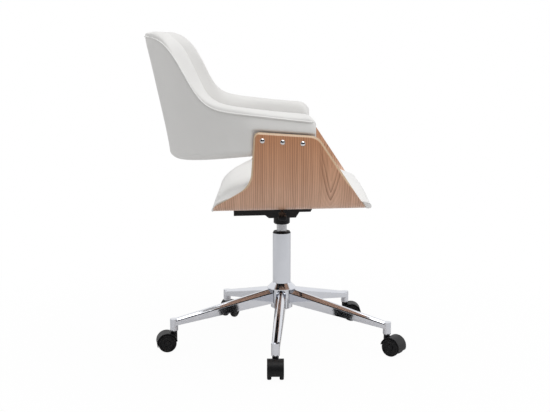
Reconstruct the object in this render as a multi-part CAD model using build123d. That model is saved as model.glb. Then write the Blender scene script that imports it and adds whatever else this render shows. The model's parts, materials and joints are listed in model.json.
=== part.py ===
from build123d import *
from math import asin, atan2, cos, degrees, exp, radians, sin, sqrt, tan
import os

# Office chair: bent plywood sling with an upholstered barrel back, on a gas lift and a five-star base.
# Millimetres, +Z up, the chair faces -Y. The origin is on the floor under the column.

# Fits
FIT = 0.05
RUN = 0.06
SOFT_GAP = 0.3
PART_GAP = 0.3

# Five-star base
LEG_COUNT = 5
STEM_CIRCLE_R = 305.0
FIRST_LEG_ANGLE = -3.28
HUB_R = 30.0
HUB_BOTTOM = 104.0
HUB_TOP = 158.0
COLLAR_R = 40.0
COLLAR_TOP_R = 26.5
COLLAR_LIP = 2.0
COLLAR_TOP = 174.0
LEG_WALL = 2.2
LEG_ROOT_W = 28.0
LEG_ROOT_BOTTOM = 117.0
LEG_TIP_W = 21.0
LEG_TIP_BOTTOM = 71.0
LEG_TIP_TOP = 89.0
LEG_RIDGE_W = 9.0
LEG_ROOT_BEVEL = 11.0
LEG_TIP_BEVEL = 5.0
LEG_ROUND = 5.0
SOCKET_R = 11.0
SOCKET_BOTTOM = 57.0

# Casters
STEM_R = 5.5
STEM_FLANGE_R = 7.0
STEM_FLANGE_H = 1.6
STEM_GRIP = 26.0
STEM_ROOT = 20.0
SLEEVE_WALL = 2.6
SLEEVE_FLANGE_R = 10.0
SLEEVE_FLANGE_H = 1.2
WHEEL_R = 25.0
WHEEL_W = 11.0
WHEEL_GAP = 20.4
WHEEL_SHOULDER = 3.0
WHEEL_RIM = 5.0
WHEEL_DISH = 2.4
WHEEL_CAP_R = 9.0
AXLE_R = 3.0
HOOD_GAP = 1.0
HOOD_WALL = 2.2
HOOD_WEB_W = 18.0
HOOD_BOSS_R = 8.0
HOOD_BACK_ANGLE = -20.0
HOOD_FRONT_ANGLE = 168.0
NECK_R = 8.5
TRAIL = 20.0
# Rest heading of each caster's trail about its stem, in degrees from +X
TRAIL_HEADINGS = (180.0, 236.0, 270.0, 334.0, 100.0)

# Gas lift
TUBE_R = 25.0
TUBE_WALL = 2.0
TUBE_TOP = 314.0
TUBE_BOTTOM = 100.0
TAPER_END_R = 23.2
BUSH_LENGTH = 68.0
BUSH_FLANGE_H = 5.0
FLOOR_T = 4.0
BEARING_R = 15.0
RACE_T = 1.5
CAGE_T = 3.0
CAGE_INSET = 1.5
CLIP_R = 8.0
CLIP_T = 2.4
ROD_R = 5.0
ROD_TIP_R = 4.0
ROD_TIP_BELOW = 6.0
BUMPER_R = 13.0
BUMPER_H = 24.0
CYLINDER_R = 14.0
CYLINDER_WALL = 2.0
CYLINDER_BOTTOM = 135.0
CYLINDER_TOP = 395.0
CYLINDER_HEAD = 24.0
CYLINDER_TAPER = 50.0
CYLINDER_TOP_R = 13.3
SEAL_H = 12.0
PISTON_H = 12.0
PISTON_TOP = 350.0
PIN_R = 3.0
PIN_BELOW = 8.0
PIN_ABOVE = 4.7

# Mechanism under the seat
SEAT_TILT = 1.3
PLATE_T = 3.0
PLATE_HALF_W = 90.0
PLATE_REAR = 130.0
PLATE_FRONT = -86.0
PLATE_DEPTH = 38.5
PLATE_FRONT_DEPTH = 31.5
PLATE_NOSE_DEPTH = 13.5
PLATE_NOSE = 10.0
PLATE_CENTRE_DEPTH = 46.5
PLATE_CENTRE_HALF = 36.0
PLATE_CENTRE_SLOPE = 10.0
BRIDGE_HALF = 33.0
BRIDGE_T = 3.0
TAPER_SOCKET_R = 18.0
TAPER_SOCKET_BOTTOM = 342.0
TAPER_SOCKET_TOP = 395.5
COVER_R = 22.5
COVER_BOTTOM = 340.0
LEVER_R = 4.0
LEVER_PIVOT_X = -60.0
LEVER_DROP = 5.0
LEVER_REACH = 214.0
LEVER_BEND_START = 100.0
LEVER_BEND_RUN = 26.0
LEVER_BEND_R = 30.0
LEVER_INNER = 3.0
GRIP_LENGTH = 58.0
GRIP_W = 20.0
GRIP_T = 12.0
GRIP_ROUND = 4.0
GRIP_LAP = 14.0
PIVOT_R = 2.0
PIVOT_EAR_T = 3.0
PIVOT_EAR_GAP = 0.5
PIVOT_EAR_W = 16.0
PIVOT_EAR_LOW = 5.0
LEVER_SLOT_H = 14.0
BOLT_R = 3.0
BOLT_HEAD_R = 6.5
BOLT_HEAD_H = 5.0
BOLT_X = 70.0
BOLT_REAR = 108.0
BOLT_FRONT = -64.0
NUT_R = 4.4
NUT_FLANGE_R = 9.0
NUT_FLANGE_T = 1.4

# Plywood sling, in the untilted seat frame
PLY_T = 12.0
PLY_BOTTOM = 417.5
PLY_HALF_W = 306.0
PLY_BEND_R = 80.0
PLY_FRONT = -209.0
PLY_REAR = 174.0
PLY_REAR_H = 15.0
WING_REAR = 65.4
WING_HEEL = 77.6
WING_ROOT = 488.0
WING_REAR_DROP = 47.0
WING_FRONT = -90.7
WING_FRONT_DROP = 60.5
WING_FRONT_LIP = 4.5
WING_REAR_ROUND = 14.0
WING_FRONT_ROUND = 40.0
WING_ROOT_ROUND = 64.0
WING_HEEL_ROUND = 18.0
PLY_EDGE = 5.0

# Seat cushion and its board
CUSHION_TOP = 510.0
CUSHION_SIDE_DROP = 14.0
CUSHION_FRONT = -226.0
CUSHION_REAR = 178.0
CUSHION_FRONT_SHOULDER = -178.0
CUSHION_REAR_SHOULDER = 128.0
CUSHION_CREST = -30.0
CUSHION_FRONT_DROP = 30.0
CUSHION_REAR_DROP = 24.0
CUSHION_LIFT = 6.0
CUSHION_FRONT_ROLL = 0.31
CUSHION_REAR_ROLL = 0.26
BOARD_T = 9.0
BOARD_SIDE = 106.0
BOARD_FRONT = -200.0
BOARD_REAR = 150.0

# Barrel back with the arms
BACK_WING_GAP = 0.6
BACK_DEPTH = 295.0
BACK_CENTRE = 19.0
BACK_SQUARE = 2.35
BACK_LEAN = 9.8
BACK_LEAN_LEVEL = 600.0
BACK_T = 66.0
BACK_TOP = 873.0
BACK_BOTTOM = 564.5
BACK_BOTTOM_DROP = 27.0
BACK_CREST_IN = 36.0
BACK_CREST_ROUND = 30.0
BACK_SEAM_DROP = 14.5
BACK_SEAM_LAG = -1.0
BACK_EDGE_ROUND = 20.0
ARM_TOP = 669.0
ARM_SLOPE = 0.13
ARM_FRONT = -87.0
ARM_END_ROUND = 12.0
SWEEP_ANGLE = 46.8
SWEEP_WIDTH = 5.8
REAR_ANGLES = (6, 12, 18, 24)
CORNER_ANGLES = (24, 29, 34, 38, 42, 46, 50, 54, 58, 63, 68, 74, 80, 85)
CORNER_RUN = 36.0
NOSE_TURNS = (30, 60, 90)
FRAME_T = 10.0
FRAME_IN = 12.0
FRAME_BELOW = 14.0
FRAME_UNDER_CREST = 46.0
FRAME_SETBACK = 20.0

# Dome screws through the wings
SCREW_R = 3.0
SCREW_HEAD_R = 6.2
SCREW_HEAD_H = 3.2
SCREW_PITCH = 49.5
SCREW_MIDDLE = -4.0
SCREW_DROP = 73.5
SCREW_RISE = 4.5
ARM_NUT_R = 4.2
ARM_NUT_FLANGE_R = 8.0
ARM_NUT_FLANGE_T = 1.4
NUT_SEAT_GAP = 0.98

# Sizes that follow from those above
SEAT_TOP_OF_PLY = PLY_BOTTOM + PLY_T
BACK_HALF_W = PLY_HALF_W - PLY_T - BACK_WING_GAP
BOARD_HALF_W = PLY_HALF_W - BOARD_SIDE
WING_REAR_TOP = ARM_TOP - WING_REAR_DROP
WING_FRONT_TOP = ARM_TOP - WING_FRONT_DROP
SCREW_LEVEL = ARM_TOP - SCREW_DROP
SLEEVE_R = STEM_R + RUN + SLEEVE_WALL
TUBE_BORE_R = TUBE_R - TUBE_WALL
FLOOR_TOP = TUBE_BOTTOM + FLOOR_T
BEARING_TOP = FLOOR_TOP + 2 * RACE_T + CAGE_T
LEVER_LEVEL = CYLINDER_TOP + PIN_ABOVE + PART_GAP + LEVER_R
PLATE_TOP = PLY_BOTTOM
PLATE_UNDER = PLATE_TOP - PLATE_T
WHEEL_INNER = WHEEL_GAP / 2
WHEEL_OUTER = WHEEL_INNER + WHEEL_W
HOOD_INNER_R = WHEEL_R + HOOD_GAP
HOOD_R = HOOD_INNER_R + HOOD_WALL
NECK_TOP = SOCKET_BOTTOM - SLEEVE_FLANGE_H - STEM_FLANGE_H - PART_GAP

SEAT_AXIS = Axis((0, 0, PLY_BOTTOM), (1, 0, 0))
parts = {}


def ring(outer, inner, low, high):
    """Tube or washer about the column axis."""
    body = Cylinder(outer, high - low, align=(Align.CENTER, Align.CENTER, Align.MIN))
    bore = Cylinder(inner, high - low + 2, align=(Align.CENTER, Align.CENTER, Align.MIN))
    return Pos(0, 0, low) * body - Pos(0, 0, low - 1) * bore


def rod(radius, low, high):
    """Upright round bar about the column axis."""
    return Pos(0, 0, low) * Cylinder(radius, high - low, align=(Align.CENTER, Align.CENTER, Align.MIN))


def turned(points):
    """Solid turned about Z from (radius, height) points."""
    return revolve(make_face(Plane.XZ * Polyline(*points, close=True)), Axis.Z)


def crosswise(radius, start, end):
    """Round bar along X from start to end, centred on Y and Z of zero."""
    bar = Cylinder(radius, abs(end - start))
    return Pos((start + end) / 2, 0, 0) * Rot(0, 90, 0) * bar


def side_plate(outline, half_width):
    """Outline in (y, z), extruded to both sides of the middle plane."""
    return extrude(Plane.YZ * outline, half_width, both=True)


def tilted(shape):
    """From the level seat frame to the tilted seat."""
    return shape.rotate(SEAT_AXIS, -SEAT_TILT)


def leg_angles():
    """Direction of each leg in degrees from +X."""
    for k in range(LEG_COUNT):
        a = radians(FIRST_LEG_ANGLE + k * 360 / LEG_COUNT)
        yield degrees(atan2(-sin(a), -cos(a)))


# Hub with the conical collar and the taper bore
def make_hub():
    taper = (TUBE_R - TAPER_END_R) / (COLLAR_TOP - HUB_BOTTOM)
    bore_low = TAPER_END_R + FIT
    bore_high = bore_low + taper * (COLLAR_TOP - HUB_BOTTOM)
    return turned([
        (bore_low, HUB_BOTTOM), (HUB_R, HUB_BOTTOM), (HUB_R, HUB_TOP), (COLLAR_R, HUB_TOP),
        (COLLAR_R, HUB_TOP + COLLAR_LIP), (COLLAR_TOP_R, COLLAR_TOP), (bore_high, COLLAR_TOP)])


def leg_section(reach, width, low, high, ridge, bevel, corner):
    """Upright leg section: straight sides, rounded shoulders and a narrow ridge."""
    half, top = width / 2, ridge / 2
    points = [(-half, low), (half, low), (half, high - bevel), (top, high), (-top, high),
              (-half, high - bevel)]
    face = make_face(Polyline(*points, close=True))
    face = fillet(face.vertices().sort_by(Axis.Y)[2:], corner)
    return Plane((reach, 0, 0), x_dir=(0, 1, 0), z_dir=(1, 0, 0)) * face


def leg_loft(start, end, inset):
    """Tapered leg between two reaches; inset draws every wall in and opens the underside."""
    ends = []
    for reach in (start, end):
        share = (reach - HUB_R) / (STEM_CIRCLE_R - HUB_R)
        width = LEG_ROOT_W + (LEG_TIP_W - LEG_ROOT_W) * share
        low = LEG_ROOT_BOTTOM + (LEG_TIP_BOTTOM - LEG_ROOT_BOTTOM) * share
        high = HUB_TOP - FIT + (LEG_TIP_TOP - HUB_TOP + FIT) * share
        bevel = LEG_ROOT_BEVEL + (LEG_TIP_BEVEL - LEG_ROOT_BEVEL) * share
        drop = inset and LEG_WALL + inset
        ends.append(leg_section(reach, width - 2 * inset, low - drop, high - inset,
                                LEG_RIDGE_W - inset, bevel, LEG_ROUND - inset))
    return loft(ends, ruled=True)


def make_leg(heading):
    leg = leg_loft(HUB_R - LEG_WALL, STEM_CIRCLE_R, 0)
    channel_end = STEM_CIRCLE_R - SOCKET_R - LEG_WALL
    leg -= leg_loft(HUB_R - 2 * LEG_WALL, channel_end, LEG_WALL)
    leg += Pos(STEM_CIRCLE_R, 0, 0) * rod(SOCKET_R, SOCKET_BOTTOM, LEG_TIP_TOP)
    leg -= Pos(STEM_CIRCLE_R, 0, 0) * rod(SLEEVE_R + FIT, SOCKET_BOTTOM - 1, LEG_TIP_TOP - LEG_WALL)
    leg -= rod(HUB_R + FIT, 0, COLLAR_TOP)
    return Rot(0, 0, heading) * leg


def make_sleeve():
    top = LEG_TIP_TOP - LEG_WALL - FIT
    bore = STEM_R + RUN
    return turned([
        (bore, SOCKET_BOTTOM - SLEEVE_FLANGE_H), (SLEEVE_FLANGE_R, SOCKET_BOTTOM - SLEEVE_FLANGE_H),
        (SLEEVE_FLANGE_R, SOCKET_BOTTOM), (SLEEVE_R, SOCKET_BOTTOM), (SLEEVE_R, top), (bore, top)])


parts["base_hub"] = make_hub()
sleeves = []
for number, heading in enumerate(leg_angles(), start=1):
    parts[f"base_leg_{number}"] = make_leg(heading)
    sleeves.append(Rot(0, 0, heading) * Pos(STEM_CIRCLE_R, 0, 0) * make_sleeve())
parts["caster_sleeves"] = Compound(children=sleeves)


# Casters, drawn with the stem on Z and the trail along +X
def make_stem():
    top = NECK_TOP + STEM_FLANGE_H
    return rod(STEM_R, NECK_TOP - STEM_ROOT, top + STEM_GRIP) + rod(STEM_FLANGE_R, NECK_TOP, top)


def hood_sector(inner, outer, half_width):
    """Slice of a ring about the axle, between the hood's two end angles."""
    middle = radians((HOOD_BACK_ANGLE + HOOD_FRONT_ANGLE) / 2)
    ends = [radians(HOOD_BACK_ANGLE), radians(HOOD_FRONT_ANGLE)]

    def spot(radius, angle):
        return (TRAIL + radius * cos(angle), WHEEL_R + radius * sin(angle))

    outline = [ThreePointArc(spot(outer, ends[0]), spot(outer, middle), spot(outer, ends[1]))]
    if inner > 0:
        outline.append(Line(spot(outer, ends[1]), spot(inner, ends[1])))
        outline.append(ThreePointArc(spot(inner, ends[1]), spot(inner, middle), spot(inner, ends[0])))
        outline.append(Line(spot(inner, ends[0]), spot(outer, ends[0])))
    else:
        outline.append(Line(spot(outer, ends[1]), spot(0, 0)))
        outline.append(Line(spot(0, 0), spot(outer, ends[0])))
    return extrude(Plane.XZ * make_face(Curve() + outline), half_width, both=True)


def make_hood():
    hood = hood_sector(HOOD_INNER_R, HOOD_R, WHEEL_OUTER + FIT)
    hood += hood_sector(0, HOOD_R, HOOD_WEB_W / 2)
    hood += Pos(TRAIL, 0, WHEEL_R) * Rot(90, 0, 0) * Cylinder(HOOD_BOSS_R, HOOD_WEB_W)
    hood += rod(NECK_R, WHEEL_R, NECK_TOP)
    hood -= rod(STEM_R + FIT, NECK_TOP - STEM_ROOT - FIT, NECK_TOP + 1)
    return hood - Pos(TRAIL, 0, WHEEL_R) * Rot(90, 0, 0) * Cylinder(AXLE_R + FIT, HOOD_WEB_W + 2)


def make_axle():
    length = 2 * (WHEEL_OUTER - WHEEL_DISH)
    return Pos(TRAIL, 0, WHEEL_R) * Rot(90, 0, 0) * Cylinder(AXLE_R, length)


def make_wheel(side):
    """Wheel with a rounded tread, a dished outer face and a raised cap over the axle end."""
    inner, outer = WHEEL_INNER, WHEEL_OUTER
    bore = AXLE_R + RUN
    dish = outer - WHEEL_DISH
    rim = WHEEL_R - WHEEL_RIM
    shoulder = WHEEL_R - WHEEL_SHOULDER
    step = WHEEL_SHOULDER * (1 - sqrt(0.5))
    outline = Polyline(
        (bore, inner), (shoulder, inner), (WHEEL_R - step, inner + step), (WHEEL_R, inner + WHEEL_SHOULDER),
        (WHEEL_R, outer - WHEEL_SHOULDER), (WHEEL_R - step, outer - step), (shoulder, outer), (rim, outer),
        (rim - WHEEL_DISH, dish), (WHEEL_CAP_R, dish), (WHEEL_CAP_R - WHEEL_DISH / 2, outer), (0, outer),
        (0, dish + FIT), (bore, dish + FIT), close=True)
    wheel = revolve(make_face(Plane.XZ * outline), Axis.Z)
    return Pos(TRAIL, 0, WHEEL_R) * Rot(-90 * side, 0, 0) * wheel


def make_casters():
    for number, (heading, trail) in enumerate(zip(leg_angles(), TRAIL_HEADINGS), start=1):
        a = radians(heading)
        place = Pos(STEM_CIRCLE_R * cos(a), STEM_CIRCLE_R * sin(a), 0) * Rot(0, 0, trail)
        parts[f"caster_stem_{number}"] = place * make_stem()
        parts[f"caster_hood_{number}"] = place * make_hood()
        parts[f"caster_axle_{number}"] = place * make_axle()
        parts[f"caster_wheel_a_{number}"] = place * make_wheel(1)
        parts[f"caster_wheel_b_{number}"] = place * make_wheel(-1)


make_casters()


# Gas lift: outer tube with its bush, floor and bearing, and the rod and cylinder inside
def make_tube():
    taper = (TUBE_R - TAPER_END_R) / (COLLAR_TOP - HUB_BOTTOM)
    end_r = TAPER_END_R - taper * (HUB_BOTTOM - TUBE_BOTTOM)
    return turned([
        (end_r, TUBE_BOTTOM), (TUBE_R, COLLAR_TOP), (TUBE_R, TUBE_TOP), (TUBE_BORE_R, TUBE_TOP),
        (TUBE_BORE_R, COLLAR_TOP), (end_r - TUBE_WALL, TUBE_BOTTOM)])


def make_bush():
    bore = CYLINDER_R + RUN
    return turned([
        (bore, TUBE_TOP - BUSH_LENGTH), (TUBE_BORE_R - FIT, TUBE_TOP - BUSH_LENGTH),
        (TUBE_BORE_R - FIT, TUBE_TOP), (TUBE_R, TUBE_TOP),
        (TUBE_R - BUSH_FLANGE_H / 2, TUBE_TOP + BUSH_FLANGE_H), (bore, TUBE_TOP + BUSH_FLANGE_H)])


def make_piston_rod():
    piston = CYLINDER_R - CYLINDER_WALL - RUN
    return (rod(ROD_TIP_R, TUBE_BOTTOM - ROD_TIP_BELOW, BEARING_TOP) + rod(ROD_R, BEARING_TOP, PISTON_TOP)
            + rod(piston, PISTON_TOP - PISTON_H, PISTON_TOP))


def make_cylinder():
    bore = CYLINDER_R - CYLINDER_WALL
    head = CYLINDER_TOP - CYLINDER_HEAD
    pin = PIN_R + RUN
    return turned([
        (bore, CYLINDER_BOTTOM), (CYLINDER_R, CYLINDER_BOTTOM), (CYLINDER_R, CYLINDER_TOP - CYLINDER_TAPER),
        (CYLINDER_TOP_R, CYLINDER_TOP), (pin, CYLINDER_TOP), (pin, head), (bore, head)])


def make_seal():
    low = CYLINDER_BOTTOM + FIT
    return ring(CYLINDER_R - CYLINDER_WALL - FIT, ROD_R + RUN, low, low + SEAL_H)


parts["column_tube"] = make_tube()
parts["column_bush"] = make_bush()
floor_r = TAPER_END_R - TUBE_WALL - FIT - (TUBE_R - TAPER_END_R) * FLOOR_T / (COLLAR_TOP - HUB_BOTTOM)
parts["column_floor"] = ring(floor_r, ROD_TIP_R + RUN, TUBE_BOTTOM, FLOOR_TOP)
parts["thrust_bearing"] = Compound(children=[
    ring(BEARING_R, ROD_TIP_R + RUN, FLOOR_TOP, FLOOR_TOP + RACE_T),
    ring(BEARING_R - CAGE_INSET, ROD_TIP_R + CAGE_INSET, FLOOR_TOP + RACE_T, BEARING_TOP - RACE_T),
    ring(BEARING_R, ROD_TIP_R + RUN, BEARING_TOP - RACE_T, BEARING_TOP)])
parts["rod_clip"] = ring(CLIP_R, ROD_TIP_R + FIT, TUBE_BOTTOM - CLIP_T - RUN, TUBE_BOTTOM - RUN)
parts["rubber_bumper"] = ring(BUMPER_R, ROD_R + FIT, BEARING_TOP + FIT, BEARING_TOP + BUMPER_H)
parts["piston_rod"] = make_piston_rod()
parts["gas_cylinder"] = make_cylinder()
parts["cylinder_seal"] = make_seal()
parts["release_pin"] = rod(PIN_R, CYLINDER_TOP - CYLINDER_HEAD - PIN_BELOW, CYLINDER_TOP + PIN_ABOVE)


# Pressed seat plate: top sheet with turned-down walls, deeper in the middle, open underneath
def plate_outline(wall, floor):
    """Side outline of the plate, drawn in by a wall; a floor height opens the underside."""
    low = PLATE_TOP - PLATE_DEPTH
    front_low = PLATE_TOP - PLATE_FRONT_DEPTH
    centre_low = PLATE_TOP - PLATE_CENTRE_DEPTH
    nose = PLATE_FRONT + PLATE_NOSE
    points = [(PLATE_REAR - wall, PLATE_TOP - wall), (PLATE_FRONT + wall, PLATE_TOP - wall),
              (PLATE_FRONT + wall, PLATE_TOP - PLATE_NOSE_DEPTH), (nose + wall, front_low)]
    if floor is None:
        points += [(-PLATE_CENTRE_HALF - PLATE_CENTRE_SLOPE, front_low), (-PLATE_CENTRE_HALF, centre_low),
                   (PLATE_CENTRE_HALF, centre_low), (PLATE_CENTRE_HALF + PLATE_CENTRE_SLOPE, low),
                   (PLATE_REAR, low)]
    else:
        points += [(nose + wall, floor), (PLATE_REAR - wall, floor)]
    return make_face(Polyline(*points, close=True))


def bolt_spots():
    for x in (-BOLT_X, BOLT_X):
        for y in (BOLT_FRONT, BOLT_REAR):
            yield x, y


def make_seat_plate():
    plate = side_plate(plate_outline(0, None), PLATE_HALF_W)
    plate -= side_plate(plate_outline(PLATE_T, COVER_BOTTOM), PLATE_HALF_W - PLATE_T)
    ear_low = LEVER_LEVEL - LEVER_R - PIVOT_EAR_LOW
    for side in (-1, 1):
        y = side * (LEVER_R + PIVOT_EAR_GAP + PIVOT_EAR_T / 2)
        ear = Box(PIVOT_EAR_W, PIVOT_EAR_T, PLATE_TOP - PLATE_T / 2 - ear_low)
        plate += Pos(LEVER_PIVOT_X, y, (PLATE_TOP - PLATE_T / 2 + ear_low) / 2) * ear
    plate -= Pos(LEVER_PIVOT_X, 0, LEVER_LEVEL) * Rot(90, 0, 0) * Cylinder(PIVOT_R + PART_GAP, 8 * LEVER_R)
    slot = Box(4 * PLATE_T, 2 * LEVER_R + LEVER_SLOT_H / 2, LEVER_SLOT_H)
    plate -= Pos(-PLATE_HALF_W, 0, LEVER_LEVEL) * slot
    for x, y in bolt_spots():
        plate -= Pos(x, y, 0) * rod(BOLT_R + FIT, PLATE_UNDER - 1, PLATE_TOP + 1)
    return tilted(plate)


def make_bridge():
    """Cross channel that carries the taper socket between the plate's side walls."""
    low = PLATE_TOP - PLATE_CENTRE_DEPTH
    half = PLATE_HALF_W - PLATE_T - FIT
    high = PLATE_UNDER - FIT
    bridge = Pos(0, 0, (low + high) / 2) * Box(2 * half, 2 * BRIDGE_HALF, high - low)
    hollow = Box(2 * half + 2, 2 * (BRIDGE_HALF - BRIDGE_T), PLATE_UNDER - low)
    bridge -= Pos(0, 0, (low + PLATE_UNDER) / 2 + BRIDGE_T) * hollow
    return tilted(bridge) - rod(TAPER_SOCKET_R + FIT, COVER_BOTTOM, PLATE_TOP)


def make_taper_socket():
    slope = (CYLINDER_R - CYLINDER_TOP_R) / CYLINDER_TAPER
    low_r = CYLINDER_R + FIT
    knee = CYLINDER_TOP - CYLINDER_TAPER
    top_r = low_r - slope * (TAPER_SOCKET_TOP - knee)
    return turned([
        (low_r, TAPER_SOCKET_BOTTOM), (TAPER_SOCKET_R, TAPER_SOCKET_BOTTOM),
        (TAPER_SOCKET_R, TAPER_SOCKET_TOP),
        (top_r, TAPER_SOCKET_TOP), (low_r, knee)])


def make_cover():
    """Plastic collar round the socket, under the bridge."""
    high = PLATE_TOP - PLATE_CENTRE_DEPTH + COVER_R * tan(radians(SEAT_TILT))
    cover = ring(COVER_R, TAPER_SOCKET_R + FIT, COVER_BOTTOM, high)
    cover = chamfer(cover.faces().sort_by(Axis.Z)[0].edges().sort_by(SortBy.RADIUS)[-1], COVER_R / 8)
    under = Box(4 * COVER_R, 4 * COVER_R, 4 * COVER_R, align=(Align.CENTER, Align.CENTER, Align.MIN))
    return cover - tilted(Pos(0, 0, PLATE_TOP - PLATE_CENTRE_DEPTH - FIT) * under)


parts["seat_plate"] = make_seat_plate()
parts["socket_bridge"] = make_bridge()
parts["taper_socket"] = make_taper_socket()
parts["socket_cover"] = make_cover()


# Height lever: a bent rod that tips about a cross pin and presses the release pin
def make_lever_rod():
    low = LEVER_LEVEL - LEVER_DROP
    bend_end = LEVER_BEND_START + LEVER_BEND_RUN
    path = FilletPolyline((LEVER_INNER, 0, LEVER_LEVEL), (-LEVER_BEND_START, 0, LEVER_LEVEL),
                          (-bend_end, 0, low), (-LEVER_REACH, 0, low), radius=LEVER_BEND_R)
    section = Plane((LEVER_INNER, 0, LEVER_LEVEL), z_dir=(-1, 0, 0)) * Circle(LEVER_R)
    lever = sweep(section, path)
    return lever - Pos(LEVER_PIVOT_X, 0, LEVER_LEVEL) * Rot(90, 0, 0) * Cylinder(PIVOT_R + RUN, 4 * LEVER_R)


def make_grip():
    low = LEVER_LEVEL - LEVER_DROP
    start = -LEVER_REACH + GRIP_LAP
    grip = fillet(Box(GRIP_LENGTH, GRIP_W, GRIP_T).edges(), GRIP_ROUND)
    grip = Pos(start - GRIP_LENGTH / 2, 0, low) * grip
    return grip - Pos(0, 0, low) * crosswise(LEVER_R + FIT, start + 1, -LEVER_REACH - FIT)


parts["lever_rod"] = make_lever_rod()
parts["lever_grip"] = make_grip()
pivot_length = 2 * (LEVER_R + PIVOT_EAR_GAP + PIVOT_EAR_T)
parts["lever_pivot"] = Pos(LEVER_PIVOT_X, 0, LEVER_LEVEL) * Rot(90, 0, 0) * Cylinder(PIVOT_R, pivot_length)


# Bolts through the plate into flanged nuts in the plywood
def make_plate_bolt():
    head = rod(BOLT_HEAD_R, PLATE_UNDER - BOLT_HEAD_H, PLATE_UNDER)
    return rod(BOLT_R, PLATE_UNDER, SEAT_TOP_OF_PLY) + head


def make_plate_nut():
    bore = BOLT_R + FIT
    barrel = ring(NUT_R, bore, PLY_BOTTOM + FIT, SEAT_TOP_OF_PLY)
    return barrel + ring(NUT_FLANGE_R, bore, SEAT_TOP_OF_PLY, SEAT_TOP_OF_PLY + NUT_FLANGE_T)


parts["plate_bolts"] = Compound(children=[tilted(Pos(x, y, 0) * make_plate_bolt()) for x, y in bolt_spots()])
parts["plate_nuts"] = Compound(children=[tilted(Pos(x, y, 0) * make_plate_nut()) for x, y in bolt_spots()])


# Bent plywood sling: a U-shaped sheet cut to its side outline
def u_band(outer_half, thickness, bottom, bend, top):
    """Front outline of a U-shaped sheet in (x, z)."""

    def half_shape(half, low, radius):
        shape = Rectangle(2 * half, top - low, align=(Align.CENTER, Align.MIN))
        return fillet(shape.vertices().sort_by(Axis.Y)[:2], radius)

    outer = Pos(0, bottom) * half_shape(outer_half, bottom, bend)
    inner = Pos(0, bottom + thickness) * half_shape(outer_half - thickness, bottom, bend - thickness)
    return outer - inner


def wing_outline(grow):
    """Side outline of the sling in (y, z): seat, swept heel and the wings."""
    corners = [(PLY_REAR, 0), (PLY_REAR, PLY_BOTTOM + PLY_REAR_H), (WING_HEEL, WING_ROOT),
               (WING_REAR, WING_REAR_TOP), (WING_FRONT, WING_FRONT_TOP),
               (PLY_FRONT, PLY_BOTTOM + WING_FRONT_LIP), (PLY_FRONT, 0)]
    sheet = make_face(Polyline(*corners, close=True))
    rounds = (None, WING_HEEL_ROUND, WING_ROOT_ROUND, WING_REAR_ROUND, WING_FRONT_ROUND)
    for corner, radius in zip(corners, rounds):
        if radius:
            sheet = fillet(sheet.vertices().sort_by_distance(corner)[0], radius)
    if grow:
        sheet = offset(sheet, grow, kind=Kind.INTERSECTION)
    return sheet


def sling(grow):
    """The plywood sling in the level seat frame, or a block grown by a clearance all round."""
    top = WING_REAR_TOP + PLY_T
    band = u_band(PLY_HALF_W + grow, PLY_T + 2 * grow, PLY_BOTTOM - grow, PLY_BEND_R + grow, top)
    length = PLY_REAR - PLY_FRONT + 2 * PLY_T
    sheet = extrude(Plane.XZ * band, length, both=True)
    return sheet & side_plate(wing_outline(grow), PLY_HALF_W + PLY_T)


def screw_spots():
    """Side, y and z of each dome screw in the level seat frame."""
    for side in (-1, 1):
        for step in (-1, 0, 1):
            yield side, SCREW_MIDDLE + step * SCREW_PITCH, SCREW_LEVEL + step * SCREW_RISE


def make_sling():
    straight = PLY_HALF_W - PLY_EDGE
    bevel = extrude(Plane.YZ.offset(straight) * wing_outline(0), PLY_EDGE, taper=45)
    shell = sling(0) & (side_plate(wing_outline(0), straight) + bevel + bevel.mirror(Plane.YZ))
    for x, y in bolt_spots():
        shell -= Pos(x, y, 0) * rod(NUT_R + FIT, PLY_BOTTOM - 1, SEAT_TOP_OF_PLY + 1)
    for side, y, z in screw_spots():
        hole = crosswise(SCREW_R + FIT, PLY_HALF_W - 2 * PLY_T, PLY_HALF_W + PLY_T)
        shell -= Pos(0, y, z) * (hole if side > 0 else hole.mirror(Plane.YZ))
    return tilted(shell)


parts["ply_shell"] = make_sling()


# Seat cushion: lofted across its width, crowned, rolled over the front and rear edges of the sling
def cushion_section(x):
    """Side section of the cushion at a place across its width."""
    low = PLY_BOTTOM + CUSHION_LIFT
    high = CUSHION_TOP - CUSHION_SIDE_DROP * (x / PLY_HALF_W) ** 2
    front_z = high - CUSHION_FRONT_DROP
    rear_z = high - CUSHION_REAR_DROP
    front_in = (CUSHION_FRONT_SHOULDER - CUSHION_FRONT) * CUSHION_FRONT_ROLL
    rear_in = (CUSHION_REAR_SHOULDER - CUSHION_REAR) * CUSHION_REAR_ROLL
    front_mid = (CUSHION_FRONT + front_in, (low + front_z) / 2)
    rear_mid = (CUSHION_REAR + rear_in, (low + rear_z) / 2)
    front, front_shoulder = (x, CUSHION_FRONT, low), (x, CUSHION_FRONT_SHOULDER, front_z)
    rear, rear_shoulder = (x, CUSHION_REAR, low), (x, CUSHION_REAR_SHOULDER, rear_z)
    return Wire([
        ThreePointArc(front, (x, *front_mid), front_shoulder),
        ThreePointArc(front_shoulder, (x, CUSHION_CREST, high), rear_shoulder),
        ThreePointArc(rear_shoulder, (x, *rear_mid), rear), Line(rear, front)])


def cushion_stations():
    """Places across the width where the cushion is drawn, as far as the outside of the sling."""
    return [PLY_HALF_W * share for share in (-1, -0.7, -0.35, 0, 0.35, 0.7, 1)]


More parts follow.
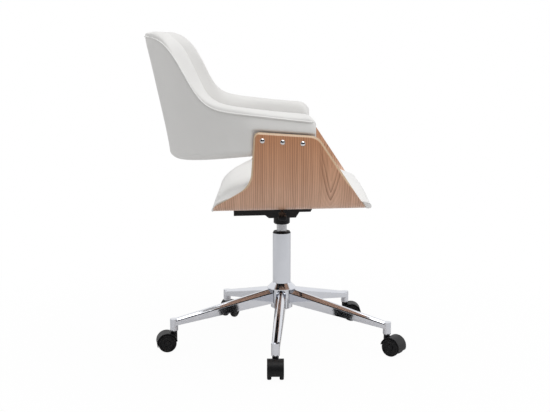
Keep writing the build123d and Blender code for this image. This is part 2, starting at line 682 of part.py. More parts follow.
def trough_stock():
    """Block with a trough in it that rounds the cushion's lower sides to the bend of the sling."""
    edge = PLY_HALF_W - PLY_T - SOFT_GAP
    length = PLY_REAR - PLY_FRONT
    shape = Rectangle(2 * edge, CUSHION_TOP, align=(Align.CENTER, Align.MIN))
    shape = fillet(shape.vertices().sort_by(Axis.Y)[:2], PLY_BEND_R - CUSHION_LIFT)
    trough = extrude(Plane.XZ * Pos(0, PLY_BOTTOM + CUSHION_LIFT) * shape, length, both=True)
    return Pos(0, 0, PLY_BOTTOM) * Box(3 * PLY_HALF_W, 3 * length, CUSHION_TOP) - trough


def board_block(grow, low):
    length = BOARD_REAR - BOARD_FRONT + 2 * grow
    height = SEAT_TOP_OF_PLY + BOARD_T + grow - low
    block = Box(2 * (BOARD_HALF_W + grow), length, height)
    return Pos(0, (BOARD_REAR + BOARD_FRONT) / 2, low + height / 2) * block


def make_cushion():
    cushion = Solid.make_loft([cushion_section(x) for x in cushion_stations()]) - trough_stock()
    cushion -= sling(SOFT_GAP)
    cushion -= board_block(SOFT_GAP, PLY_BOTTOM)
    return tilted(cushion.solids().sort_by(SortBy.VOLUME)[-1])


def make_board():
    board = board_block(0, SEAT_TOP_OF_PLY)
    recess = SEAT_TOP_OF_PLY + NUT_FLANGE_T + PART_GAP
    for x, y in bolt_spots():
        board -= Pos(x, y, 0) * rod(NUT_FLANGE_R + PART_GAP, PLY_BOTTOM, recess)
    return tilted(board)


parts["seat_cushion"] = make_cushion()
parts["seat_board"] = make_board()


# Barrel back: upright sections lofted round a squared half-oval plan and out along the arms
def sweep_height(angle):
    """Crest height from the top of the back, round the corner and down to the arms."""
    return ARM_TOP + (BACK_TOP - ARM_TOP) / (1 + exp((angle - SWEEP_ANGLE) / SWEEP_WIDTH))


def plan_station(angle):
    """Plan point and outward normal at an angle from the rear middle, with the section's heights."""
    power = 2 / BACK_SQUARE
    across = BACK_HALF_W * sin(radians(angle)) ** power
    behind = BACK_DEPTH * cos(radians(angle)) ** power if angle < 90 else 0.0
    slope_x = (across / BACK_HALF_W) ** (BACK_SQUARE - 1) / BACK_HALF_W
    slope_y = (behind / BACK_DEPTH) ** (BACK_SQUARE - 1) / BACK_DEPTH
    length = sqrt(slope_x ** 2 + slope_y ** 2)
    y = BACK_CENTRE + behind
    return dict(point=(across, y), normal=(slope_x / length, slope_y / length),
                crest=sweep_height(angle) + ARM_SLOPE * behind * sin(radians(angle)) ** 4,
                inset=0.0,
                seam=sweep_height(angle + BACK_SEAM_LAG) - BACK_SEAM_DROP
                + ARM_SLOPE * behind * sin(radians(angle)) ** 4,
                low=BACK_BOTTOM - BACK_BOTTOM_DROP * behind / BACK_DEPTH)


def arm_station(y, inset=0.0):
    """The same for a place along the straight arm; an inset draws the section in all round."""
    fall = ARM_SLOPE * (BACK_CENTRE - y)
    return dict(point=(BACK_HALF_W - inset, y), normal=(1.0, 0.0), crest=ARM_TOP - fall - inset, inset=inset,
                seam=ARM_TOP - BACK_SEAM_DROP - fall - inset, low=BACK_BOTTOM + inset)


def mirrored(station):
    """The same station on the other side of the middle plane."""
    (x, y), (nx, ny) = station["point"], station["normal"]
    return dict(station, point=(-x, y), normal=(-nx, ny))


def lofted(stations, section):
    """Ruled solid through the sections at some stations."""
    return Part() + Solid.make_loft([section(s) for s in stations], ruled=True)


def barrel(section, arm_end, nose):
    """Body round the back and along both arms, lofted in stretches that meet at shared sections."""
    rear_half = [plan_station(a) for a in REAR_ANGLES]
    rear = [mirrored(s) for s in reversed(rear_half)] + [plan_station(0)] + rear_half
    arm_start = arm_station(BACK_CENTRE - CORNER_RUN)
    corner = [plan_station(a) for a in CORNER_ANGLES] + [arm_station(BACK_CENTRE), arm_start]
    arm = [arm_start, arm_station(arm_end)]
    side = lofted(corner, section) + lofted(arm, section)
    if nose:
        turns = [radians(turn) for turn in NOSE_TURNS]
        tip = [arm_station(arm_end - nose * sin(a), nose * (1 - cos(a))) for a in turns]
        side += lofted([arm_station(arm_end)] + tip, section)
    return lofted(rear, section) + side + side.mirror(Plane.YZ)


def section_spot(station, inward, z):
    """Point of an upright section, a distance inside the leaning outer face."""
    (x, y), (nx, ny) = station["point"], station["normal"]
    out = tan(radians(BACK_LEAN)) * ny * (z - BACK_LEAN_LEVEL) - inward
    return (x + nx * out, y + ny * out, z)


def upholstery_section(station):
    """Closed section: flat outside, crowned top sloping to the seam, rounded lower edges."""
    low, seam, crest = station["low"], station["seam"], station["crest"]
    bend = BACK_EDGE_ROUND * (1 - sqrt(0.5))
    thick = BACK_T - 2 * station["inset"]
    crest_in = BACK_CREST_IN - station["inset"]
    inner_top = crest - BACK_CREST_ROUND
    inner_mid = thick - (thick - crest_in) * (1 - sqrt(0.75))
    band_mid = (crest_in * 0.4, seam + (crest - seam) * 0.72)

    def at(inward, z):
        return section_spot(station, inward, z)

    return Wire([
        Line(at(0, low + BACK_EDGE_ROUND), at(0, seam)),
        ThreePointArc(at(0, seam), at(*band_mid), at(crest_in, crest)),
        ThreePointArc(at(crest_in, crest), at(inner_mid, crest - BACK_CREST_ROUND / 2), at(thick, inner_top)),
        Line(at(thick, inner_top), at(thick, low + BACK_EDGE_ROUND)),
        ThreePointArc(at(thick, low + BACK_EDGE_ROUND), at(thick - bend, low + bend),
                      at(thick - BACK_EDGE_ROUND, low)),
        Line(at(thick - BACK_EDGE_ROUND, low), at(BACK_EDGE_ROUND, low)),
        ThreePointArc(at(BACK_EDGE_ROUND, low), at(bend, low + bend), at(0, low + BACK_EDGE_ROUND))])


def frame_section(station, grow, below):
    """Upright strip section of the bent frame, or of the pocket for it."""
    low = station["low"] + FRAME_BELOW - below
    high = station["crest"] - FRAME_UNDER_CREST + grow
    near, far = FRAME_IN - grow, FRAME_IN + FRAME_T + grow

    def at(inward, z):
        return section_spot(station, inward, z)

    return Wire([Line(at(near, low), at(near, high)), Line(at(near, high), at(far, high)),
                 Line(at(far, high), at(far, low)), Line(at(far, low), at(near, low))])


def screw_tools(radius, inner, outer):
    """Bars for all dome screws, from an inner to an outer distance from the middle plane."""
    bars = []
    for side, y, z in screw_spots():
        bar = crosswise(radius, inner, outer)
        bars.append(Pos(0, y, z) * (bar if side > 0 else bar.mirror(Plane.YZ)))
    return bars


def make_back():
    pocket_end = ARM_FRONT + FRAME_SETBACK - SOFT_GAP
    back = barrel(upholstery_section, ARM_FRONT + ARM_END_ROUND, ARM_END_ROUND)
    back -= barrel(lambda s: frame_section(s, SOFT_GAP, FRAME_BELOW + SOFT_GAP), pocket_end, 0)
    frame_face = BACK_HALF_W - FRAME_IN
    pocket = frame_face - FRAME_T - ARM_NUT_FLANGE_T - NUT_SEAT_GAP - PART_GAP
    for tool in screw_tools(SCREW_R + PART_GAP, frame_face - FRAME_T, PLY_HALF_W):
        back -= tool
    for tool in screw_tools(ARM_NUT_FLANGE_R + PART_GAP, pocket, frame_face - FRAME_T / 2):
        back -= tool
    return tilted(back)


def make_frame():
    frame = barrel(lambda s: frame_section(s, 0, 0), ARM_FRONT + FRAME_SETBACK, 0)
    frame_face = BACK_HALF_W - FRAME_IN
    for tool in screw_tools(ARM_NUT_R + FIT, frame_face - 2 * FRAME_T, frame_face + FRAME_IN):
        frame -= tool
    return tilted(frame)


parts["back_upholstery"] = make_back()
parts["back_frame"] = make_frame()


# Dome screws and the flanged nuts in the frame
def make_arm_screw():
    tip = BACK_HALF_W - FRAME_IN - FRAME_T
    ball_r = (SCREW_HEAD_R ** 2 + SCREW_HEAD_H ** 2) / (2 * SCREW_HEAD_H)
    half = asin(SCREW_HEAD_R / ball_r) / 2
    middle = (ball_r * sin(half), SCREW_HEAD_H - ball_r * (1 - cos(half)))
    outline = [Line((0, 0), (SCREW_HEAD_R, 0)),
               ThreePointArc((SCREW_HEAD_R, 0), middle, (0, SCREW_HEAD_H)),
               Line((0, SCREW_HEAD_H), (0, 0))]
    dome = revolve(make_face(Plane.XZ * (Curve() + outline)), Axis.Z)
    return crosswise(SCREW_R, tip, PLY_HALF_W) + Pos(PLY_HALF_W, 0, 0) * Rot(0, 90, 0) * dome


def make_arm_nut():
    face = BACK_HALF_W - FRAME_IN
    seat = face - FRAME_T - NUT_SEAT_GAP
    nut = crosswise(ARM_NUT_R, seat, face - NUT_SEAT_GAP)
    nut += crosswise(ARM_NUT_FLANGE_R, seat - ARM_NUT_FLANGE_T, seat)
    return nut - crosswise(SCREW_R + FIT, seat - 2 * ARM_NUT_FLANGE_T, face + 1)


def on_both_sides(piece):
    """A piece drawn on the +X side, set at every screw on both sides."""
    other = piece.mirror(Plane.YZ)
    return [tilted(Pos(0, y, z) * (piece if side > 0 else other)) for side, y, z in screw_spots()]


parts["arm_screws"] = Compound(children=on_both_sides(make_arm_screw()))
parts["arm_nuts"] = Compound(children=on_both_sides(make_arm_nut()))

os.makedirs("parts", exist_ok=True)
for name, shape in parts.items():
    export_step(shape, f"parts/{name}.step")
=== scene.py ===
import json
from math import pi

import bpy
import numpy as np
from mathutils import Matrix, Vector


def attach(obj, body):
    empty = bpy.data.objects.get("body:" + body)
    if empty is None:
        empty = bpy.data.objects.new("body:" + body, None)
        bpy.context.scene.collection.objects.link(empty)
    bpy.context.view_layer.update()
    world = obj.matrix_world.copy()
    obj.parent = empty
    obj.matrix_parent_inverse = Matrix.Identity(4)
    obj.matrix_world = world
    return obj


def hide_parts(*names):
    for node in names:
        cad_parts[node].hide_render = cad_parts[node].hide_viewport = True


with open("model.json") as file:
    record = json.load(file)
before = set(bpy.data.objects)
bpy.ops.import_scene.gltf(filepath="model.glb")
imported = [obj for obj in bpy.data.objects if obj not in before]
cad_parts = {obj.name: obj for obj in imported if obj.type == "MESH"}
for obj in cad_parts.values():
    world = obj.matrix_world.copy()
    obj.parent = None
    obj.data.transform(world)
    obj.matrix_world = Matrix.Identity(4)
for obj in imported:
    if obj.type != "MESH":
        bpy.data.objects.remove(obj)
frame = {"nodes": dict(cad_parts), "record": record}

nodes = frame["nodes"]
scene = bpy.context.scene
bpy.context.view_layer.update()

# Sizes of the seat parts in metres, in the level seat frame, as in the part's source
SEAT_TILT = np.radians(1.3)
PLY_T = 0.012
PLY_BOTTOM = 0.4175
PLY_HALF_W = 0.306
PLY_BEND_R = 0.080
PLY_FRONT, PLY_FRONT_TOP = -0.209, 0.422
PLY_REAR, PLY_REAR_TOP = 0.174, 0.4325
WING_HEEL, WING_ROOT, WING_REAR, WING_REAR_TOP = 0.0776, 0.488, 0.0654, 0.622
WING_FRONT, WING_FRONT_TOP = -0.0907, 0.6085
CUSHION_TOP, CUSHION_SIDE_DROP = 0.510, 0.012
CUSHION_FRONT, CUSHION_FRONT_SHOULDER, CUSHION_FRONT_DROP = -0.2285, -0.196, 0.043
CUSHION_REAR, CUSHION_REAR_SHOULDER, CUSHION_REAR_DROP = 0.183, 0.128, 0.025
CUSHION_CREST, CUSHION_LIFT = -0.030, 0.006
CUSHION_FRONT_ROLL, CUSHION_REAR_ROLL = 0.08, 0.26
BACK_HALF_W, BACK_DEPTH, BACK_CENTRE, BACK_SQUARE = 0.2934, 0.295, 0.019, 2.35
BACK_LEAN, BACK_LEAN_LEVEL = np.radians(10.8), 0.6256
BACK_T, BACK_TOP, BACK_BOTTOM, BACK_BOTTOM_DROP = 0.066, 0.873, 0.5645, 0.027
BACK_CREST_IN = 0.036
BACK_SEAM_DROP, BACK_SEAM_LAG, BACK_EDGE_ROUND = 0.0145, -1.0, 0.020
ARM_TOP, ARM_SLOPE, ARM_FRONT, ARM_END_ROUND = 0.669, 0.13, -0.087, 0.012
SWEEP_ANGLE, SWEEP_WIDTH = 46.8, 5.8

# Sizes of the upholstery's own detail
SOFT_GAP = 0.0006
NOSE_TOP_ROUND = 0.026
CROWN = 0.002
BAND_SQUARE = 2.8
INNER_ROLL = 0.045
SIDE_TURN, SIDE_TURN_IN = 0.026, 0.0045
SIM_FRAMES, EVEN_PASSES = 20, 5
SIM_PRESSURE = 4.0
BACK_SWELL, CUSHION_SWELL = 0.004, 0.004
TUCK, BULGE, BULGE_UP, BULGE_REACH = 0.003, 0.006, 0.006, 0.022
CREASE_FROM, CREASE_FULL = 0.255, 0.288
PIPING_R, PIPING_OUT, PIPING_END, PIPING_STEP, PIPING_SIDES = 0.0015, 0.0012, 3, 0.004, 8
STITCH_PITCH, STITCH_LENGTH, STITCH_R, STITCH_OFF = 0.0048, 0.0034, 0.00035, 0.0042
STITCH_END, STITCH_SIDES = 4, 6
STITCH_PROFILE = ((0, 0.3), (0.2, 1), (0.8, 1), (1, 0.3))


def tilted(points):
    """From the level seat frame to the tilted seat."""
    points = np.array(points, float)
    y, z = points[..., 1].copy(), points[..., 2] - PLY_BOTTOM
    points[..., 1] = y * np.cos(SEAT_TILT) + z * np.sin(SEAT_TILT)
    points[..., 2] = PLY_BOTTOM - y * np.sin(SEAT_TILT) + z * np.cos(SEAT_TILT)
    return points


def smooth(low, high, value):
    """0 below a range, 1 above it, and an even step between."""
    t = np.clip((value - low) / (high - low), 0, 1)
    return t * t * (3 - 2 * t)


def new_piece(name, points, faces):
    mesh = bpy.data.meshes.new(name)
    mesh.from_pydata([tuple(p) for p in points], [], faces)
    mesh.polygons.foreach_set("use_smooth", [True] * len(mesh.polygons))
    mesh.update()
    piece = bpy.data.objects.new(name, mesh)
    scene.collection.objects.link(piece)
    return piece


def soft_piece(name, points, faces):
    """Piece in the tilted seat with its surface made finer."""
    piece = new_piece(name, tilted(points), faces)
    piece.modifiers.new("Subdivision", "SUBSURF").render_levels = 1
    return piece


def unit(vectors):
    return vectors / np.linalg.norm(vectors, axis=1, keepdims=True)


def loop_faces(rows, columns):
    """Quads of a grid that is closed round its columns."""
    grid = np.arange(rows * columns).reshape(rows, columns)
    after = np.roll(grid, -1, axis=1)
    quads = np.stack([grid[:-1], grid[1:], after[1:], after[:-1]], axis=-1)
    return quads.reshape(-1, 4).tolist()


def swell(points, faces, shape, pinned, cap):
    """Points after a pressure cloth run, moved evenly and no further than the cap."""
    piece = new_piece("swelling", points, faces)
    group = piece.vertex_groups.new(name="pinned")
    group.add([int(i) for i in pinned], 1.0, "REPLACE")
    cloth = piece.modifiers.new("Cloth", "CLOTH")
    cloth.settings.use_pressure = True
    cloth.settings.uniform_pressure_force = SIM_PRESSURE
    cloth.settings.vertex_group_mass = "pinned"
    cloth.settings.effector_weights.gravity = 0
    cloth.point_cache.frame_start, cloth.point_cache.frame_end = 1, SIM_FRAMES
    for step in range(1, SIM_FRAMES + 1):
        scene.frame_set(step)
    result = piece.evaluated_get(bpy.context.evaluated_depsgraph_get()).data
    moved = np.zeros(len(points) * 3)
    result.vertices.foreach_get("co", moved)
    scene.frame_set(1)
    bpy.data.objects.remove(piece)
    move = moved.reshape(-1, 3) - points
    far = np.linalg.norm(move, axis=1, keepdims=True)
    move *= np.tanh(far / cap) * cap / np.maximum(far, 1e-9)
    field = move[:shape[0] * shape[1]].reshape(*shape, 3)
    for _ in range(EVEN_PASSES):
        field[1:-1] = (field[:-2] + 2 * field[1:-1] + field[2:]) / 4
        field[:] = (np.roll(field, 1, axis=1) + 2 * field + np.roll(field, -1, axis=1)) / 4
    move[pinned] = 0
    return points + move


# Barrel back: stations from one arm's end round the back to the other, as in the part's source
SIDE_ROWS, EDGE_ROWS = 22, 16
CORNER_STEPS, ARM_STEPS, NOSE_STEPS = 84, 22, 7
LAST_ANGLE, ARM_SLOPE_FADE, SEAM_INSET_DROP = 88, 4, 0.3


def sweep_height(angle):
    """Crest height from the top of the back, round the corner and down to the arms."""
    return ARM_TOP + (BACK_TOP - ARM_TOP) / (1 + np.exp((angle - SWEEP_ANGLE) / SWEEP_WIDTH))


def plan_station(angle):
    """Station of the back on its squared half-oval plan."""
    a, power = np.radians(angle), 2 / BACK_SQUARE
    across = BACK_HALF_W * np.sin(a) ** power
    behind = BACK_DEPTH * max(np.cos(a), 0.0) ** power
    slope = np.array([(across / BACK_HALF_W) ** (BACK_SQUARE - 1) / BACK_HALF_W,
                      (behind / BACK_DEPTH) ** (BACK_SQUARE - 1) / BACK_DEPTH])
    rise = ARM_SLOPE * behind * np.sin(a) ** ARM_SLOPE_FADE
    return dict(point=np.array([across, BACK_CENTRE + behind]), normal=slope / np.linalg.norm(slope),
                crest=sweep_height(angle) + rise,
                seam=sweep_height(angle + BACK_SEAM_LAG) - BACK_SEAM_DROP + rise,
                low=BACK_BOTTOM - BACK_BOTTOM_DROP * behind / BACK_DEPTH, inset=0.0)


def arm_station(y, inset=0.0, drop=0.0):
    """Station of an arm, drawn in and lowered at its end."""
    fall = ARM_SLOPE * (BACK_CENTRE - y)
    seam = ARM_TOP - fall - BACK_SEAM_DROP - SEAM_INSET_DROP * inset
    return dict(point=np.array([BACK_HALF_W - inset, y]), normal=np.array([1.0, 0.0]), seam=seam,
                crest=max(ARM_TOP - fall - drop, seam), low=BACK_BOTTOM + inset, inset=inset)


def rounding(radius, short):
    """How far a rounded edge has drawn in, a distance short of its end."""
    gone = max(radius - short, 0.0)
    return radius - np.sqrt(max(radius ** 2 - gone ** 2, 0.0))


def half_stations():
    """Stations from the rear middle out to the end of one arm."""
    made = [plan_station(a) for a in np.linspace(0, LAST_ANGLE, CORNER_STEPS)]
    made += [arm_station(y) for y in np.linspace(BACK_CENTRE, ARM_FRONT + NOSE_TOP_ROUND, ARM_STEPS)]
    for turn in np.linspace(0, pi / 2, NOSE_STEPS)[1:]:
        short = NOSE_TOP_ROUND * (1 - np.sin(turn))
        drawn_in, drop = rounding(ARM_END_ROUND, short), rounding(NOSE_TOP_ROUND, short)
        made.append(arm_station(ARM_FRONT + short, drawn_in, drop))
    return made


def section_shape(station):
    """Closed section as (inward, z): outer side up, over the crest, inner side down, bottom back out."""
    low, seam, crest, inset = (station[k] for k in ("low", "seam", "crest", "inset"))
    crest = crest + CROWN
    thick, crest_in = BACK_T - 2 * inset, BACK_CREST_IN - inset
    edge, inner_top = BACK_EDGE_ROUND, crest - INNER_ROLL
    t = np.linspace(0, 1, SIDE_ROWS + 1)[:-1]
    rise = low + edge + (seam - low - edge) * t
    outer = np.stack([SIDE_TURN_IN * np.clip(1 - (seam - rise) / SIDE_TURN, 0, 1) ** 2, rise], 1)
    turn = np.linspace(0, pi / 2, EDGE_ROWS // 2 + 1)[:-1]
    band = np.stack([SIDE_TURN_IN + (crest_in - SIDE_TURN_IN) * (1 - np.cos(turn) ** (2 / BAND_SQUARE)),
                     seam + (crest - seam) * np.sin(turn) ** (2 / BAND_SQUARE)], 1)
    roll = np.stack([crest_in + (thick - crest_in) * np.sin(turn),
                     crest - INNER_ROLL * (1 - np.cos(turn))], 1)
    inner = np.stack([thick + 0 * t, inner_top + (low + edge - inner_top) * t], 1)
    v = np.linspace(0, pi / 2, EDGE_ROWS // 2 + 1)
    inner_low = np.stack([thick - edge * (1 - np.cos(v)), low + edge * (1 - np.sin(v))], 1)
    outer_low = np.stack([edge * (1 - np.sin(v)), low + edge * (1 - np.cos(v))], 1)
    bottom = np.concatenate([inner_low[:-1], outer_low[:-1]])
    return np.concatenate([outer, band, roll, inner, bottom])


def section_points(station, shape):
    """Places of (inward, z) pairs at a station, on the leaning section."""
    inward, z = shape[:, 0], shape[:, 1]
    out = np.tan(BACK_LEAN) * station["normal"][1] * (z - BACK_LEAN_LEVEL) - inward
    plan = station["point"] + out[:, None] * station["normal"]
    return np.column_stack([plan, z])


def mirrored(stations):
    flip = np.array([-1, 1])
    return [dict(s, point=s["point"] * flip, normal=s["normal"] * flip) for s in stations]


def end_cap(loop, start):
    """Inner points and quads that close an arm's end, as a grid between the section's four sides."""
    n, m = SIDE_ROWS, EDGE_ROWS
    count = len(loop)
    grid = np.full((n + 1, m + 1), -1)
    for k in range(n + 1):
        grid[k, 0] = k
        grid[k, m] = (2 * n + m - k) % count
    for k in range(m + 1):
        grid[n, k] = n + k
        grid[0, k] = (2 * n + 2 * m - k) % count
    points = []
    for i in range(1, n):
        for k in range(1, m):
            a, b = i / n, k / m
            edges = ((1 - b) * loop[grid[i, 0]] + b * loop[grid[i, m]] + (1 - a) * loop[grid[0, k]]
                     + a * loop[grid[n, k]])
            corners = ((1 - a) * ((1 - b) * loop[grid[0, 0]] + b * loop[grid[0, m]])
                       + a * ((1 - b) * loop[grid[n, 0]] + b * loop[grid[n, m]]))
            grid[i, k] = count + len(points)
            points.append(edges - corners)
    index = np.concatenate([start[0] + np.arange(count), start[1] + np.arange(len(points))])
    quads = [[index[grid[i, k]], index[grid[i + 1, k]], index[grid[i + 1, k + 1]], index[grid[i, k + 1]]]
             for i in range(n) for k in range(m)]
    return points, quads


def wing_distance(y, z):
    """Distance outside the sling's wing, seen from the side; below zero behind the wing."""
    slope = (WING_REAR_TOP - WING_FRONT_TOP) / (WING_REAR - WING_FRONT)
    above = z - (WING_REAR_TOP + slope * (y - WING_REAR))
    behind = y - WING_REAR
    return np.where((above > 0) & (behind > 0), np.hypot(above, behind), np.maximum(above, behind))


def crease(points):
    """Outward move of the arms' outer sides, tucked in behind the wing's edge and full just above it."""
    outer = smooth(CREASE_FROM, CREASE_FULL, np.abs(points[:, 0]))
    away = wing_distance(points[:, 1], points[:, 2])
    tuck = -TUCK * (1 - smooth(0, BULGE_UP, away))
    full = BULGE * np.where(away < BULGE_UP, smooth(0, BULGE_UP, away),
                            np.exp(-((away - BULGE_UP) / BULGE_REACH) ** 2))
    return np.column_stack([np.sign(points[:, 0]) * outer * (tuck + full), 0 * away, 0 * away])


def make_back():
    half = half_stations()
    stations = mirrored(half[:0:-1]) + half
    shapes = [section_shape(s) for s in stations]
    rings = np.array([section_points(s, shape) for s, shape in zip(stations, shapes)])
    rows, columns = rings.shape[:2]
    points = rings.reshape(-1, 3)
    faces = loop_faces(rows, columns)
    for row, flip in ((0, False), (rows - 1, True)):
        more, quads = end_cap(rings[row], (row * columns, len(points)))
        points = np.concatenate([points, more])
        faces += [q[::-1] if flip else q for q in quads]
    ring_index = np.arange(rows * columns).reshape(rows, columns)
    pinned = np.concatenate([ring_index[:, SIDE_ROWS], ring_index[:, -EDGE_ROWS:].ravel(),
                             ring_index[[0, -1]].ravel()])
    points = swell(points, faces, (rows, columns), pinned, BACK_SWELL)
    points = points + crease(points)
    piece = soft_piece("back_cover", points, faces)
    rings = points[:rows * columns].reshape(rows, columns, 3)
    below, seam, over = (rings[:, SIDE_ROWS + k] for k in (-1, 0, 1))
    return piece, seam, unit(below - seam), unit(over - seam)


def even_line(line, step, count=0):
    """The same line with points an even step apart, or a count of them."""
    along = np.concatenate([[0], np.cumsum(np.linalg.norm(np.diff(line, axis=0), axis=1))])
    at = np.linspace(0, along[-1], count or int(along[-1] / step))
    return np.column_stack([np.interp(at, along, line[:, k]) for k in range(3)])


def tube(name, line, radius, sides, up):
    """Round tube along a line, closed at its ends."""
    ahead = unit(np.gradient(line, axis=0))
    across = unit(np.cross(ahead, up))
    over = np.cross(across, ahead)
    turn = np.linspace(0, 2 * pi, sides, endpoint=False)
    rings = line[:, None] + radius * (np.cos(turn)[None, :, None] * across[:, None]
                                      + np.sin(turn)[None, :, None] * over[:, None])
    faces = loop_faces(len(line), sides)
    faces += [list(range(sides))[::-1], list(range((len(line) - 1) * sides, len(line) * sides))]
    return new_piece(name, tilted(rings.reshape(-1, 3)), faces)


def make_piping(seam, down, over):
    """Narrow welt that stands out of the seam between the outer sides and the top band."""
    ends = np.minimum(np.arange(len(seam)), np.arange(len(seam))[::-1])
    out = PIPING_OUT * smooth(PIPING_END, 2 * PIPING_END, ends)[:, None]
    line = even_line((seam - out * unit(down + over))[PIPING_END:-PIPING_END], PIPING_STEP)
    return tube("seam_piping", line, PIPING_R, PIPING_SIDES, np.array([0, 0, 1.0]))


def make_stitches(seam, down):
    """Row of thread stitches along the outer side, just under the piping."""
    line = even_line((seam + STITCH_OFF * down)[STITCH_END:-STITCH_END], STITCH_PITCH)
    middle = np.array([0.0, BACK_CENTRE, 0.0])
    points, faces = [], []
    turn = np.linspace(0, 2 * pi, STITCH_SIDES, endpoint=False)
    rounds = len(STITCH_PROFILE)
    for k in range(len(line) - 1):
        ahead = line[k + 1] - line[k]
        ahead /= np.linalg.norm(ahead)
        out = line[k] - middle
        out[2] = 0
        out /= np.linalg.norm(out)
        over = np.cross(ahead, out)
        for share, size in STITCH_PROFILE:
            centre = line[k] + ahead * STITCH_LENGTH * share + out * STITCH_R * size
            points += [centre + STITCH_R * size * (np.cos(a) * out + np.sin(a) * over) for a in turn]
        base = rounds * STITCH_SIDES * k
        last = base + (rounds - 1) * STITCH_SIDES
        faces += [[base + i for i in face] for face in loop_faces(rounds, STITCH_SIDES)]
        faces += [[base + i for i in range(STITCH_SIDES)][::-1], [last + i for i in range(STITCH_SIDES)]]
    return new_piece("seam_stitches", tilted(np.array(points)), faces)


# Seat cushion: closed loops across its width, resting in the sling
CUSHION_COLUMNS, CUSHION_ROWS, CUSHION_UNDER = 62, 60, 14
CUSHION_EDGE, SIDE_ROUND, SIDE_ROUND_DEPTH, CUSHION_LIP = 0.006, 0.028, 1.08, 0.010
COLUMN_CROWD, SWELL_ROOM = 0.86, 0.6
RIM_PULLS, RIM_LEVEL, RIM_IN, RIM_OUT = (0.45, 0.85), 0.35, 0.02, 0.4
FRONT_SIDE_DROP = 0.010
REAR_LIP, LIP_DROP = 0.006, 0.009
WELL_UP, WELL_PLACE, WELL_REACH = 0.008, 0.085, 0.035
WELL_FROM, WELL_FULL = 0.20, 0.26
ARC_POINTS, SMOOTH_COUNT, SMOOTH_REACH = 400, 400, 28


def arc_through(start, middle, end, count):
    """Points of the arc through three points of a plane, without its end."""
    (ax, ay), (bx, by), (cx, cy) = start, middle, end
    d = 2 * (ax * (by - cy) + bx * (cy - ay) + cx * (ay - by))
    a2, b2, c2 = ax * ax + ay * ay, bx * bx + by * by, cx * cx + cy * cy
    ox = (a2 * (by - cy) + b2 * (cy - ay) + c2 * (ay - by)) / d
    oy = (a2 * (cx - bx) + b2 * (ax - cx) + c2 * (bx - ax)) / d
    first, last = np.arctan2(ay - oy, ax - ox), np.arctan2(cy - oy, cx - ox)
    swing = (last - first + pi) % (2 * pi) - pi
    angles = first + swing * np.linspace(0, 1, count, endpoint=False)
    radius = np.hypot(ax - ox, ay - oy)
    return np.column_stack([ox + radius * np.cos(angles), oy + radius * np.sin(angles)])


def bend_rise(x, straight, radius):
    """Height of a rounded trough over its flat bottom."""
    over = min(max(abs(x) - straight, 0.0), radius)
    return radius - np.sqrt(radius ** 2 - over ** 2)


def front_edge(z):
    """Place of the sling's front edge at a height."""
    return PLY_FRONT + max(z - PLY_FRONT_TOP, 0) * (WING_FRONT - PLY_FRONT) / (WING_FRONT_TOP - PLY_FRONT_TOP)


def rear_edge(z):
    """Place of the sling's rear edge at a height."""
    return PLY_REAR + max(z - PLY_REAR_TOP, 0) * (WING_HEEL - PLY_REAR) / (WING_ROOT - PLY_REAR_TOP)


def softened(line):
    """Line of even points with its corners rounded off, between the same ends."""
    first, last = np.repeat(line[:1], SMOOTH_REACH, 0), np.repeat(line[-1:], SMOOTH_REACH, 0)
    padded = np.concatenate([first, line, last])
    window = np.hanning(2 * SMOOTH_REACH + 3)[1:-1]
    window /= window.sum()
    soft = np.column_stack([np.convolve(padded[:, k], window, "valid") for k in (0, 1)])
    ends = np.minimum(np.arange(len(line)), np.arange(len(line))[::-1])
    share = smooth(0, SMOOTH_REACH, ends)[:, None]
    return line + (soft - line) * share


